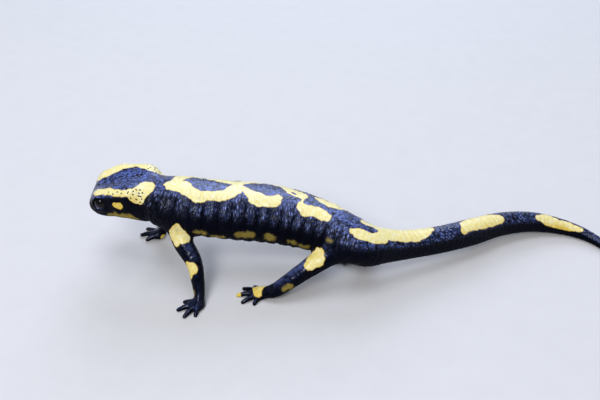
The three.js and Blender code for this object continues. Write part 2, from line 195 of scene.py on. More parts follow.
axis_places = np.linspace(0, len(AXIS) - 1, 4000)
axis_line = smooth_through(AXIS[:, :3], axis_places)
axis_sizes = smooth_through(AXIS[:, 3:], axis_places)
axis_distance = np.concatenate([[0], np.cumsum(np.linalg.norm(np.diff(axis_line, axis=0), axis=1))])
BODY_LENGTH = axis_distance[-1]
axis_tangent = np.gradient(axis_line, axis=0)
axis_tangent /= np.linalg.norm(axis_tangent, axis=1)[:, None]
axis_side = np.cross(axis_tangent, (0, 0, 1))
axis_side /= np.linalg.norm(axis_side, axis=1)[:, None]
axis_up = np.cross(axis_side, axis_tangent)


def on_axis(columns, distance):
    """Values of the axis at distances from the snout."""
    return np.stack([np.interp(distance, axis_distance, column) for column in columns.T], axis=-1)


def bell(offset, spread):
    """A smooth bump, 1 high, that fades on both sides."""
    return np.exp(-0.5 * (offset / spread) ** 2)


def between(distance, start, end, ease):
    """1 between two distances and 0 outside them, with eased ends."""
    rise = np.clip((distance - start) / ease, 0, 1) * np.clip((end - distance) / ease, 0, 1)
    return rise * rise * (3 - 2 * rise)


MOUTH_CORNER = 14.5                              # from the snout
COSTAL_START = 32.65                             # the first groove between two ribs
COSTAL_SPACING = 4.3


def mouth_height(distance):
    """Height of the line of the mouth from the centre of the head."""
    return -0.8 - 1.3 * np.clip(distance / MOUTH_CORNER, 0, 1) ** 3


def skin_radius(distance, turn):
    """Radius of the skin; turn is the angle from the middle of the back towards the animal's left."""
    half, above, below = on_axis(axis_sizes, distance).T
    from_back = np.degrees(np.abs(np.arctan2(np.sin(turn), np.cos(turn))))
    power = 2.15 + 0.35 * np.clip((26 - distance) / 6, 0, 1)
    height = np.where(np.cos(turn) > 0, above, below)
    section = ((np.abs(np.sin(turn)) / half) ** power
               + (np.abs(np.cos(turn)) / height) ** power) ** (-1 / power)
    lid_root = 2.5 * bell(distance - 8.0, 3.0) * bell(from_back - 50, 18)
    parotoid = 2.2 * between(distance, 8, 24.5, 5) * bell(from_back - 50, 16)
    mouth_angle = 90 + np.degrees(np.arctan2(-mouth_height(distance), 7.5))
    lip = 0.35 * between(distance, 0.5, MOUTH_CORNER + 2, 3) * bell(from_back - mouth_angle + 8, 7)
    throat_fold = 0.7 * bell(distance - 25.5, 1.1) * np.clip((from_back - 67.5) / 45, 0, 1)
    shoulder = 0.5 * bell(distance - 37, 4.5) * bell(from_back - 105, 28)
    hip = 1.1 * bell(distance - 92, 4.0) * bell(from_back - 100, 30)
    vent = 1.3 * bell(distance - 99, 3.2) * bell(from_back - 180, 38)
    furrow = np.abs(np.sin(math.pi * (distance - COSTAL_START) / COSTAL_SPACING)) ** 0.7
    costal = (0.6 * furrow - 0.38) * between(distance, 36.65, 87, 4) * bell(from_back - 92, 34)
    return section + lid_root + parotoid + lip - throat_fold + shoulder + hip + vent + costal


def body_place(points, distance):
    """Distance from the snout, angle from the back and radius of points, from a first distance."""
    for _ in range(3):
        inside = np.clip(distance, 0, BODY_LENGTH)
        tangent = on_axis(axis_tangent, inside)
        offset = points - on_axis(axis_line, inside)
        distance = inside + np.sum(offset * tangent, axis=1)
    inside = np.clip(distance, 0, BODY_LENGTH)
    offset = points - on_axis(axis_line, inside)
    across = np.sum(offset * on_axis(axis_side, inside), axis=1)
    above = np.sum(offset * on_axis(axis_up, inside), axis=1)
    return distance, np.arctan2(across, above), np.hypot(across, above)


def body_gap(points, distance):
    """Distance of points from the skin of head, trunk and tail, negative inside."""
    distance, turn, radius = body_place(points, distance)
    skin = skin_radius(np.clip(distance, 0, BODY_LENGTH), turn)
    nose = np.clip(1 - distance / SNOUT_ROUND, 0, None)
    tip = np.clip(1 - (BODY_LENGTH - distance) / TIP_ROUND, 0, None)
    whole = (radius / skin) ** END_POWER + nose ** END_POWER + tip ** END_POWER
    return (whole ** (1 / END_POWER) - 1) * skin


# ---------------------------------------------------------------- skin: the form of the legs, feet and lids
# Four short legs with soft, slightly flattened hands of four fingers and feet of five toes,
# and a round lid over each eye. They are cast with the body and run into it in rounded folds.

# A leg has its joints from the hip or shoulder to the wrist, its radii there, the heading of
# its hand or foot, and the spread and length of each finger or toe.
ARM_RADII = [3.3, 3.2, 2.65, 1.85, 1.5]
LEG_RADII = [3.7, 3.6, 3.0, 2.4, 1.7]
LEGS = {
    "left arm": {
        "joints": [[-61.9, 1.4, 21.0], [-59.4, -4.3, 16.3], [-55.4, -9.3, 11.4], [-53.8, -14.9, 4.3],
                   [-53.9, -17.7, 1.9]],
        "radii": ARM_RADII, "heading": 215, "digits": [[48, 4.6], [16, 6.6], [-16, 6.9], [-50, 5.0]],
    },
    "right arm": {
        "joints": [[-60.9, 7.9, 20.0], [-61.9, 14.7, 16.2], [-64.1, 18.3, 11.2], [-69.5, 17.5, 4.4],
                   [-71.9, 16.8, 1.9]],
        "radii": ARM_RADII, "heading": 160, "digits": [[-50, 4.6], [-16, 6.6], [16, 6.9], [48, 5.0]],
    },
    "left leg": {
        "joints": [[-4.9, -4.1, 15.6], [-11.9, -7.8, 13.2], [-19.3, -11.3, 9.9], [-28.6, -14.0, 3.9],
                   [-33.4, -13.1, 1.9]],
        "radii": LEG_RADII, "heading": 183,
        "digits": [[-56, 4.6], [-27, 6.9], [-2, 8.1], [25, 7.2], [56, 4.8]],
    },
    "right leg": {
        "joints": [[-3.4, -0.1, 15.2], [0.1, 4.3, 13.0], [2.3, 7.0, 9.6], [0.7, 6.7, 4.8], [-2.5, 5.6, 1.9]],
        "radii": LEG_RADII, "heading": 172,
        "digits": [[56, 4.4], [27, 6.6], [2, 7.6], [-25, 7.0], [-56, 4.8]],
    },
}
PALM = np.array([2.7, 2.5, 1.25])                # half length, width and height
PALM_SUNK = 0.12                                 # into the floor, where it is flat
PALM_AHEAD = 0.8                                 # from the wrist to the middle of the palm
LEG_FOLD = 3.0                                   # size of the rounding where a leg leaves the body
DIGIT_RADII = [0.95, 0.9, 0.72, 0.62]
DIGIT_FOLD = 0.7
WRIST_FOLD = 1.4


def cone_gap(points, joints, radii):
    """Distance from the surface of round cones that join the points of a chain."""
    nearest = np.full(len(points), 1e9)
    for start, end, thick, thin in zip(joints[:-1], joints[1:], radii[:-1], radii[1:]):
        along = end - start
        share = np.clip((points - start) @ along / max(along @ along, 1e-9), 0, 1)
        away = np.linalg.norm(points - start - share[:, None] * along, axis=1)
        nearest = np.minimum(nearest, away - thick - (thin - thick) * share)
    return nearest


def egg_gap(points, sizes):
    """Distance from an egg of three half sizes round the origin."""
    near = np.linalg.norm(points / sizes, axis=1)
    return near * (near - 1) / np.maximum(np.linalg.norm(points / sizes ** 2, axis=1), 1e-9)


def blend(first, second, size):
    """Joins two surfaces with a rounded fold of a size."""
    overlap = np.clip(size - np.abs(first - second), 0, None) / size
    return np.minimum(first, second) - overlap ** 2 * size / 4


def carve(first, second, size):
    """Takes the second surface out of the first, with a rounded edge."""
    return -blend(-first, second, size)


for leg in LEGS.values():
    joints = np.array(leg["joints"])
    fine = np.linspace(0, len(joints) - 1, 41)
    leg["line"] = smooth_through(joints, fine)
    leg["girth"] = smooth_through(np.array(leg["radii"])[:, None], fine)[:, 0]
    heading = math.radians(leg["heading"])
    forward = np.array([math.cos(heading), math.sin(heading), 0])
    leg["turned"] = np.array([forward, [-forward[1], forward[0], 0], [0, 0, 1]])
    leg["palm"] = joints[-1] * (1, 1, 0) + PALM_AHEAD * forward + (0, 0, PALM[2] - PALM_SUNK)
    leg["toes"] = []
    for spread, length in leg["digits"]:
        angle = heading + math.radians(spread)
        # Places along the finger or toe, and the height of its middle there.
        shape = np.array([[0.8, 1.25], [0.5 * length, 1.3], [0.8 * length, 0.95], [length - 0.1, 0.52]])
        fine_shape = smooth_through(shape, np.linspace(0, 3, 10))
        leg["toes"].append((
            joints[-1] * (1, 1, 0) + fine_shape[:, :1] * (math.cos(angle), math.sin(angle), 0)
            + fine_shape[:, 1:] * (0, 0, 1),
            smooth_through(np.array(DIGIT_RADII)[:, None], np.linspace(0, 3, 10))[:, 0]))
    reach = np.vstack([leg["line"]] + [toe for toe, _ in leg["toes"]])
    leg["box"] = reach.min(axis=0) - 8, reach.max(axis=0) + 8

LID_DISTANCE = 7.7                               # from the snout, and from the middle of the head
LID_SIDE = 5.5
LID_HEIGHT = 3.2
LID_SIZES = np.array([3.6, 3.3, 3.3])
LID_FOLD = 1.4
EYE_RADIUS = 2.4
EYE_FORWARD = 1.0                                # from the middle of the lid to that of the eye
RIM_REACH = 2.64                                 # from the middle of the eye to the rim of its lids
RIM_ANGLE = 0.99                                 # half the opening of the lids
RIM_THICK = 0.36
SOCKET_DEPTH = 0.25
NOSTRIL_DISTANCE = 1.7
NOSTRIL_TURN = 52                                # degrees from the middle of the back
NOSTRIL_RADIUS = 0.42
eye_tangent, eye_side, eye_up, eye_axis = (
    on_axis(columns, LID_DISTANCE) for columns in (axis_tangent, axis_side, axis_up, axis_line))
EYES = {}
for name, way in (("left", 1), ("right", -1)):
    gaze = way * eye_side - 0.28 * eye_tangent + 0.2 * eye_up
    gaze /= np.linalg.norm(gaze)
    dome = eye_axis + way * LID_SIDE * eye_side + LID_HEIGHT * eye_up
    brow = np.cross(gaze, np.cross(eye_up, gaze))
    EYES[name] = {"gaze": gaze, "dome": dome, "eye": dome + EYE_FORWARD * gaze,
                  "brow": brow / np.linalg.norm(brow)}


def leg_gap(points, leg):
    """Distance from the skin of a leg with its hand or foot."""
    gap = cone_gap(points, leg["line"][::2], leg["girth"][::2])
    palm = egg_gap((points - leg["palm"]) @ leg["turned"].T, PALM)
    for toe, girth in leg["toes"]:
        palm = blend(palm, cone_gap(points, toe, girth), DIGIT_FOLD)
    return blend(gap, palm, WRIST_FOLD)


def skin_gap(points, distance):
    """Distance of points from the whole skin, negative inside."""
    gap = body_gap(points, distance)
    for leg in LEGS.values():
        low, high = leg["box"]
        near = np.all((points > low) & (points < high), axis=1)
        gap[near] = blend(gap[near], leg_gap(points[near], leg), LEG_FOLD)
    near = distance < 22
    head = gap[near]
    place = points[near]
    for eye in EYES.values():
        basis = np.array([eye_tangent, eye_side, eye_up])
        head = blend(head, egg_gap((place - eye["dome"]) @ basis.T, LID_SIZES), LID_FOLD)
    for eye in EYES.values():
        offset = place - eye["eye"]
        along = offset @ eye["gaze"]
        flat = offset - along[:, None] * eye["gaze"]
        lift = flat @ eye["brow"]
        wide = np.sqrt(np.maximum(np.sum(flat * flat, axis=1) - lift ** 2, 0))
        away = np.linalg.norm(offset, axis=1)
        from_rim = RIM_REACH * (np.arctan2(np.hypot(wide / 1.08, lift), along) - RIM_ANGLE)
        head = carve(head, carve(from_rim, away - EYE_RADIUS + SOCKET_DEPTH, 0.2), 0.2)
        head = blend(head, np.hypot(from_rim, away - RIM_REACH) - RIM_THICK, 0.45)
    for way in (1, -1):
        nostril_turn = math.radians(NOSTRIL_TURN) * way
        centre = on_axis(axis_line, NOSTRIL_DISTANCE) + skin_at(NOSTRIL_DISTANCE, nostril_turn)
        head = carve(head, np.linalg.norm(place - centre, axis=1) - NOSTRIL_RADIUS, 0.25)
    gap[near] = head
    return gap


def skin_at(distance, turn):
    """Offset of the skin from the axis, at one distance and angle."""
    radius = skin_radius(np.array([distance]), np.array([turn]))[0]
    rounding = (1 - max(1 - distance / SNOUT_ROUND, 0) ** END_POWER) ** (1 / END_POWER)
    side, up = on_axis(axis_side, distance), on_axis(axis_up, distance)
    return radius * rounding * (side * math.sin(turn) + up * math.cos(turn))


MOUTH_DEPTH = 0.42
MOUTH_WIDTH = 0.2


def mouth_groove(points, distance):
    """Depth of the closed mouth as a fine groove round the head."""
    distance, turn, _ = body_place(points, distance)
    inside = np.clip(distance, 0, BODY_LENGTH)
    height = np.sum((points - on_axis(axis_line, inside)) * on_axis(axis_up, inside), axis=1)
    off_line = height - mouth_height(inside)
    ahead_of_corner = np.clip((MOUTH_CORNER - distance) / 1.5, 0, 1) * (distance < 20)
    return MOUTH_DEPTH * np.exp(-(off_line / MOUTH_WIDTH) ** 2) * ahead_of_corner


# ---------------------------------------------------------------- skin: one closed mesh
# The cast skin is one surface. The forms above are roughed out as overlapping closed tubes and
# joined into one mesh of even facets, and each point is then moved onto the true form.

SKIN_FACET = 0.26


def loft(rings):
    """A closed tube through rings of points, with a flat face at each end."""
    sides = len(rings[0])
    points = [tuple(point) for ring in rings for point in ring]
    faces = [[ring * sides + side, ring * sides + (side + 1) % sides,
              (ring + 1) * sides + (side + 1) % sides, (ring + 1) * sides + side]
             for ring in range(len(rings) - 1) for side in range(sides)]
    faces.append(list(range(sides))[::-1])
    faces.append([(len(rings) - 1) * sides + side for side in range(sides)])
    return points, faces


def round_rings(line, girth, sides=16):
    """Rings of points round a line, with a round cap at its end."""
    ahead = line[-1] - line[-2]
    ahead /= np.linalg.norm(ahead)
    caps = np.array([[0.45, 0.85], [0.8, 0.55], [0.95, 0.25]]) * girth[-1]
    line = np.vstack([line, line[-1] + caps[:, :1] * ahead])
    girth = np.concatenate([girth, caps[:, 1]])
    rings = []
    tangents = np.gradient(line, axis=0)
    for centre, tangent, radius in zip(line, tangents, girth):
        first = np.cross((0.31, 0.2, 0.93), tangent)
        first /= np.linalg.norm(first)
        second = np.cross(tangent, first)
        second /= np.linalg.norm(second)
        angles = np.arange(sides) * 2 * math.pi / sides
        rings.append(centre + radius * (np.cos(angles)[:, None] * first + np.sin(angles)[:, None] * second))
    return rings


def body_rings():
    """Rings of points round head, trunk and tail."""
    rings = []
    turns = np.arange(36) * math.pi / 18
    for distance in [0.1, 0.4, 0.9, *np.arange(1.5, BODY_LENGTH - 1, 1.2), BODY_LENGTH - 0.3]:
        radius = skin_radius(np.full(36, distance), turns)
        radius *= (1 - max(1 - distance / SNOUT_ROUND, 0) ** END_POWER) ** (1 / END_POWER)
        centre, side, up = (on_axis(columns, distance) for columns in (axis_line, axis_side, axis_up))
        rings.append(centre + radius[:, None] * (np.sin(turns)[:, None] * side + np.cos(turns)[:, None] * up))
    return rings


def egg_rings(centre, sizes, basis):
    """Rings of points on an egg."""
    rings = []
    turns = np.arange(16) * math.pi / 8
    for angle in np.linspace(0.12, math.pi - 0.12, 12):
        local = sizes * np.stack([np.full(16, -math.cos(angle)), math.sin(angle) * np.cos(turns),
                                  math.sin(angle) * np.sin(turns)], axis=1)
        rings.append(centre + local @ basis)
    return rings


rough = bpy.data.meshes.new("rough skin")
rough_points, rough_faces = [], []
tubes = [body_rings()]
for leg in LEGS.values():
    tubes.append(round_rings(leg["line"], leg["girth"]))
    tubes.append(egg_rings(leg["palm"], PALM, leg["turned"]))
    tubes.extend(round_rings(toe, girth, 10) for toe, girth in leg["toes"])
for eye in EYES.values():
    tubes.append(egg_rings(eye["dome"], LID_SIZES, np.array([eye_tangent, eye_side, eye_up])))
for rings in tubes:
    points, faces = loft(rings)
    rough_faces.extend([[index + len(rough_points) for index in face] for face in faces])
    rough_points.extend(points)
rough.from_pydata(rough_points, [], rough_faces)
rough_skin = bpy.data.objects.new("rough skin", rough)
bpy.context.scene.collection.objects.link(rough_skin)
remesh = rough_skin.modifiers.new("even facets", "REMESH")
remesh.mode = "VOXEL"
remesh.voxel_size = SKIN_FACET
skin_mesh = bpy.data.meshes.new_from_object(rough_skin.evaluated_get(bpy.context.evaluated_depsgraph_get()))
bpy.data.objects.remove(rough_skin)


def mesh_points(mesh):
    """Places of the points of a mesh, one to a row."""
    flat = np.empty(len(mesh.vertices) * 3)
    mesh.vertices.foreach_get("co", flat)
    return flat.reshape(-1, 3)


def mesh_normals(mesh):
    """Normals of the points of a mesh, one to a row."""
    flat = np.empty(len(mesh.vertices) * 3)
    mesh.vertex_normals.foreach_get("vector", flat)
    return flat.reshape(-1, 3)


def first_distance(points):
    """The nearest place on the axis, to the millimetre."""
    samples = np.arange(0, BODY_LENGTH, 1.0)
    line = on_axis(axis_line, samples)
    nearest = np.empty(len(points))
    for start in range(0, len(points), 20000):
        part = points[start:start + 20000]
        away = np.sum(part ** 2, axis=1)[:, None] - 2 * part @ line.T + np.sum(line ** 2, axis=1)
        nearest[start:start + 20000] = samples[np.argmin(away, axis=1)]
    return nearest


def settle(points, distance, rounds):
    """Moves points onto the true form, down the slope of the distance from it."""
    reach = 0.02
    for _ in range(rounds):
        gap = skin_gap(points, distance)
        beside = [skin_gap(points + step, distance) for step in np.eye(3) * reach]
        slope = np.stack([(side_gap - gap) / reach for side_gap in beside], axis=1)
        steep = np.maximum(np.sum(slope ** 2, axis=1), 0.3)
        points = points - np.clip(gap / steep, -0.4, 0.4)[:, None] * slope
    return points


def relax(mesh, points, rounds, where):
    """Evens out the facets: each point moves half way to the middle of its neighbours."""
    edges = np.empty(len(mesh.edges) * 2, int)
    mesh.edges.foreach_get("vertices", edges)
    ends = np.concatenate([edges[0::2], edges[1::2]])
    others = np.concatenate([edges[1::2], edges[0::2]])
    count = np.bincount(ends, minlength=len(points))[:, None]
    for _ in range(rounds):
        total = np.stack([np.bincount(ends, points[others, axis], len(points)) for axis in range(3)], axis=1)
        points = np.where(where[:, None], 0.5 * points + 0.5 * total / count, points)
    return points


points = mesh_points(skin_mesh)
distance = first_distance(points)
points = settle(points, distance, 3)
points = relax(skin_mesh, points, 3, np.ones(len(points), bool))
points = settle(points, distance, 2)


def in_head(points):
    """Whether points are in the head, and not in a hand below it."""
    return (points[:, 0] < on_axis(axis_line, 15.0)[0]) & (points[:, 2] > 12)


def round_eyes(points):
    """Whether points are close round an eye."""
    away = [np.linalg.norm(points - eye["eye"] - 0.6 * eye["gaze"], axis=1) for eye in EYES.values()]
    return np.minimum(*away) < 3.6


def refine(mesh, points, region):
    """Halves the facets of a region and moves its new points onto the true form."""
    mesh.vertices.foreach_set("co", points.ravel())
    chosen = region(points)
    fine = bmesh.new()
    fine.from_mesh(mesh)
    fine.verts.ensure_lookup_table()
    edges = [edge for edge in fine.edges if all(chosen[vertex.index] for vertex in edge.verts)]
    bmesh.ops.subdivide_edges(fine, edges=edges, cuts=1, use_grid_fill=True)
    fine.to_mesh(mesh)
    fine.free()
    points = mesh_points(mesh)
    chosen = region(points)
    distance = first_distance(points)
    for _ in range(3):
        points = relax(mesh, points, 2, chosen)
        points[chosen] = settle(points[chosen], distance[chosen], 1)
    points[chosen] = settle(points[chosen], distance[chosen], 2)
    return points, distance


# The head gets facets of half the size, and the rims of the lids a quarter.
points, distance = refine(skin_mesh, points, in_head)
points, distance = refine(skin_mesh, points, round_eyes)

# Fine relief: the mouth, cross wrinkles of the neck and flanks, rings of the tail, creases of
# the legs, and small grains all over.
RING_SPACING = 2.0                               # between the fine rings of the tail
RING_DEPTH = 0.08
CREASE_HEIGHT = 0.06
GRAIN_HEIGHT = 0.07
GRAIN = np.random.default_rng(5).random((32, 32, 32)) - 0.5


def lumps(places):
    """Smooth random bumps, one to a unit of length, from -0.5 to 0.5."""
    cell = np.floor(places).astype(int)
    part = places - cell
    part = part * part * (3 - 2 * part)
    total = np.zeros(len(places))
    for corner in np.ndindex(2, 2, 2):
        weight = np.prod(np.where(corner, part, 1 - part), axis=1)
        total += weight * GRAIN[tuple(((cell + corner) % 32).T)]
    return total


def ridges(places):
    """Narrow random ridges, about one to a unit of length, up to 0.5 high."""
    return 0.5 - np.abs(lumps(places)) * 2


skin_mesh.vertices.foreach_set("co", points.ravel())
skin_mesh.update()
normals = mesh_normals(skin_mesh)
upward = normals[:, 2].copy()
not_lids = (distance > 20) | (points[:, 2] < 18)
on_leg = np.clip((body_gap(points, distance) - 0.25) / 0.8, 0, 1) * not_lids
mouth = mouth_groove(points, distance)
distance, turn, _ = body_place(points, distance)


def round_body(along, around, layer):
    """Places for lumps that follow the body: along it, round it, and a layer of their own."""
    return np.stack([distance * along, turn * around, np.full(len(points), layer)], axis=1)


wrinkle = ridges(round_body(0.9, 2.2, 3.0)) * 0.22 + lumps(round_body(1.7, 3.0, 9.0)) * 0.12
wrinkle *= between(distance, 22, 105, 8) * np.clip((np.abs(turn) - 0.25) / 0.5, 0.15, 1) * (1 - on_leg)
crease = CREASE_HEIGHT * ridges(points * (0.7, 0.7, 0.9) + 5) * on_leg
ring_place = distance / RING_SPACING + 0.8 * lumps(round_body(0.5, 1.2, 15.0))
ringed = (1 - np.abs(np.sin(math.pi * ring_place))) ** 2
ringed *= between(distance, 102, BODY_LENGTH - 4, 8) * (1 - on_leg)
eyes_clear = np.minimum(*[np.linalg.norm(points - eye["eye"], axis=1) for eye in EYES.values()])
grain = GRAIN_HEIGHT * (lumps(points * 1.1) + 0.6 * lumps(points * 2.2 + 7))
grain *= np.clip((eyes_clear - 3.2) / 1.5, 0, 1)
points = points + normals * (wrinkle + crease + grain - mouth - RING_DEPTH * ringed)[:, None]


# ---------------------------------------------------------------- skin: the markings
# Two broken bands of yellow are painted from the lids over the back to the tail, with patches
# on the legs. Each is a chain of round spots: distance from the snout, arc from the middle of
# the back towards the left, and radius.

LEFT_BANDS = [
    [(5.0, 2.6, 0.8), (8.0, 5.8, 1.3), (12.7, 8.0, 1.4), (17.3, 8.9, 1.2), (20.3, 8.1, 1.6),
     (21.5, 8.8, 1.6), (22.7, 8.3, 1.6), (22.8, 7.4, 2.2)],
    [(22.8, 7.8, 2.1), (23.6, 3.4, 2.6)],
    [(14.2, 12.9, 1.4), (15.9, 13.3, 1.5)],
    [(28.9, 1.0, 1.0), (30.5, 0.9, 2.4), (34.0, 1.4, 2.9), (36.5, 3.4, 2.2), (39.3, 4.7, 2.4),
     (41.8, 3.9, 1.8), (45.5, 3.7, 2.1), (48.3, 2.7, 2.2), (50.4, 0.1, 2.6), (51.8, -1.8, 1.4)],
    [(51.8, -1.8, 1.2), (53.0, -1.0, 1.1), (55.2, 1.4, 1.9), (57.6, 3.4, 3.0), (60.5, 4.2, 2.4),
     (63.8, 3.5, 2.3), (64.6, 1.6, 1.5)],
    [(73.1, 2.8, 1.9), (75.0, 3.6, 2.5), (77.0, 3.2, 2.1), (79.0, 2.7, 2.3), (81.0, 2.9, 2.2),
     (82.6, 3.0, 1.6)],
    [(72.7, -0.9, 0.5), (72.7, 1.0, 0.6)],
    [(91.3, 3.3, 1.0), (93.3, 3.1, 2.1), (96.5, 3.4, 1.9), (99.5, 2.6, 2.3)],
    [(101.5, 0.2, 3.4), (107.0, -0.2, 3.8), (113.0, -0.5, 4.2), (117.0, -1.0, 3.6), (120.5, -1.6, 1.8)],
    [(132.6, 2.6, 1.4), (134.8, 1.0, 2.6), (139.5, 0.4, 3.4), (144.5, 0.8, 3.2), (148.8, 1.6, 2.0)],
    [(165.8, 1.4, 1.4), (169.5, 1.3, 2.8), (173.5, 2.2, 1.9), (178.5, 1.6, 1.7), (182.5, 0.8, 0.9)],
]
RIGHT_BANDS = [
    [(6.5, -4.2, 1.5), (9.0, -5.2, 2.4), (13.0, -7.4, 2.4), (17.0, -8.0, 2.4), (20.5, -6.8, 2.4),
     (23.5, -6.8, 1.8)],
    [(15.0, -13.4, 1.6), (16.4, -14.0, 1.2)],
    [(30.5, 0.0, 1.6), (32.0, -4.8, 2.6), (35.5, -7.4, 1.8), (40.0, -7.6, 1.6), (44.0, -6.2, 1.8),
     (47.5, -5.2, 2.0), (51.5, -3.6, 1.8)],
    [(51.5, -4.0, 1.5), (55.0, -6.0, 1.2), (59.0, -8.2, 1.6), (63.5, -8.2, 1.9), (66.5, -5.6, 1.6),
     (68.6, -3.5, 2.1), (70.8, -3.0, 2.4), (71.7, -2.6, 2.2)],
    [(76.8, -4.2, 1.0), (79.0, -4.0, 1.9), (81.3, -3.8, 2.3), (83.4, -4.5, 1.9), (85.0, -5.2, 1.0),
     (87.5, -6.8, 1.4)],
    [(93.5, -3.0, 1.3), (97.5, -2.8, 1.8), (101.5, -1.5, 2.6)],
]
BLACK_DOT = [(69.0, -2.6, 0.4), (69.7, -2.3, 0.4)]
DULL_SPOTS = [
    [(40.0, 17.4, 1.3), (42.0, 17.9, 1.3)],
    [(45.0, 19.3, 1.0), (47.5, 19.6, 1.0)],
    [(53.0, 17.2, 1.6), (57.0, 16.8, 1.7)],
    [(63.5, 16.7, 2.0), (64.8, 16.6, 1.7)],
    [(71.5, 16.6, 1.0), (73.5, 16.4, 1.2)],
    [(76.5, 17.3, 1.5), (78.5, 16.6, 1.4)],
    [(86.2, 9.4, 0.6), (86.9, 9.2, 0.6)],
    [(43.0, -17.5, 1.5), (45.5, -17.0, 1.2)],
    [(52.0, -17.6, 1.6), (54.0, -17.2, 1.5)],
    [(62.0, -16.8, 1.8), (65.5, -16.4, 1.4)],
    [(74.5, -16.6, 1.7), (77.0, -16.4, 1.3)],
    [(7.5, 15.8, 1.0), (12.0, 17.5, 1.6), (17.5, 18.4, 1.8), (21.5, 18.0, 1.0)],
    [(7.5, -15.8, 1.0), (12.0, -17.5, 1.6), (17.5, -18.4, 1.8), (21.5, -18.0, 1.0)],
]
# On the legs a spot is a place in space, and a radius.
LEG_PATCHES = [
    [(-60.2, -5.6, 23.9, 1.1), (-60.4, -5.1, 22.2, 2.1), (-61.2, -5.2, 19.7, 2.5), (-60.8, -6.5, 17.9, 1.5)],
    [(-59.9, -5.1, 21.6, 2.1), (-58.9, -5.6, 19.3, 2.2), (-57.6, -5.5, 18.7, 1.3)],
    [(-56.6, -11.2, 11.9, 1.6), (-55.4, -12.2, 11.6, 1.7), (-56.3, -12.6, 10.0, 1.1),
     (-56.9, -13.4, 8.0, 0.8)],
    [(-14.8, -9.3, 15.2, 2.1), (-15.8, -10.6, 14.5, 3.1), (-17.8, -12.0, 12.9, 1.8)],
    [(-34.9, -12.2, 2.6, 1.7), (-34.6, -14.0, 2.2, 1.7), (-32.0, -11.6, 4.0, 1.2)],
    [(-41.3, -13.2, 0.9, 1.25)],
    [(-70.2, 14.8, 1.2, 1.3), (-69.0, 14.5, 2.4, 0.9)],
    [(-62.5, 19.4, 16.4, 2.4), (-61.6, 17.6, 18.0, 2.0)],
    [(3.2, 9.2, 12.2, 2.3), (4.0, 8.2, 10.0, 1.6)],
    [(-3.0, 6.2, 2.6, 1.4)],
]
DULL_LEG_SPOTS = [
    [(-23.7, -15.6, 6.9, 0.9), (-25.9, -15.9, 6.1, 1.1)],
    [(-55.6, -15.9, 4.6, 0.8), (-55.4, -16.6, 3.4, 0.6)],
]
# The parotoid glands open in pores: a line of them behind each eye, and a group at the back.
# A pore has a distance from the snout and an arc to either side.
PORES = [(12.0, 8.0), (13.9, 8.9), (15.6, 8.2), (17.3, 8.8), (18.8, 7.4)]
PORE_SIZE = 0.26
PORE_DEPTH = 0.16
pore_shift = np.random.default_rng(11)
for pore_row in range(4):
    for pore_place in range(4):
        shift = pore_shift.uniform(-0.38, 0.38, 2)
        pore_arc = 5.3 + pore_place * 1.15 + 0.5 * (pore_row % 2)
        PORES.append((20.2 + pore_row * 1.1 + shift[0], pore_arc + shift[1]))

# Arc from the middle of the back, on a grid of distances and angles.
arc_distances = np.arange(0.5, BODY_LENGTH, 1.0)
arc_turns = np.radians(np.arange(0, 181, 3))
arc_table = []
for arc_distance in arc_distances:
    radius = skin_radius(np.full(len(arc_turns), arc_distance), arc_turns)
    outline = radius[:, None] * np.stack([np.sin(arc_turns), np.cos(arc_turns)], axis=1)
    steps = np.linalg.norm(np.diff(outline, axis=0), axis=1)
    arc_table.append(np.concatenate([[0], np.cumsum(steps)]))
arc_table = np.array(arc_table)


def back_arc(distance, turn):
    """Arc from the middle of the back, positive towards the left."""
    row = np.clip(distance - 0.5, 0, len(arc_distances) - 1.001)
    column = np.clip(np.abs(turn) / math.radians(3), 0, len(arc_turns) - 1.001)
    low_row, low_column = row.astype(int), column.astype(int)
    row_part, column_part = row - low_row, column - low_column
    value = ((1 - row_part) * (1 - column_part) * arc_table[low_row, low_column]
             + row_part * (1 - column_part) * arc_table[low_row + 1, low_column]
             + (1 - row_part) * column_part * arc_table[low_row, low_column + 1]
             + row_part * column_part * arc_table[low_row + 1, low_column + 1])
    return value * np.sign(turn)


def chains_gap(places, chains):
    """Distance from the edge of the nearest chain of spots."""
    nearest = np.full(len(places), 50.0)
    for chain in chains:
        chain = np.array(chain)
        if len(chain) == 1:
            chain = np.vstack([chain, chain + 1e-3])
        nearest = np.minimum(nearest, cone_gap(places, chain[:, :-1], chain[:, -1]))
    return nearest


arc = back_arc(distance, turn)
places = np.stack([distance, arc], axis=1)
yellow = chains_gap(places, LEFT_BANDS + RIGHT_BANDS)
yellow = np.maximum(yellow, -chains_gap(places, [BLACK_DOT])) + 6 * on_leg
yellow = np.minimum(yellow, chains_gap(points, LEG_PATCHES))
dull = np.minimum(chains_gap(places, DULL_SPOTS) + 6 * on_leg, chains_gap(points, DULL_LEG_SPOTS))
pore = np.full(len(points), 9.0)
for pore_distance, pore_arc in PORES:
    pore = np.minimum(pore, np.hypot(distance - pore_distance, np.abs(arc) - pore_arc))
pore += 9 * on_leg

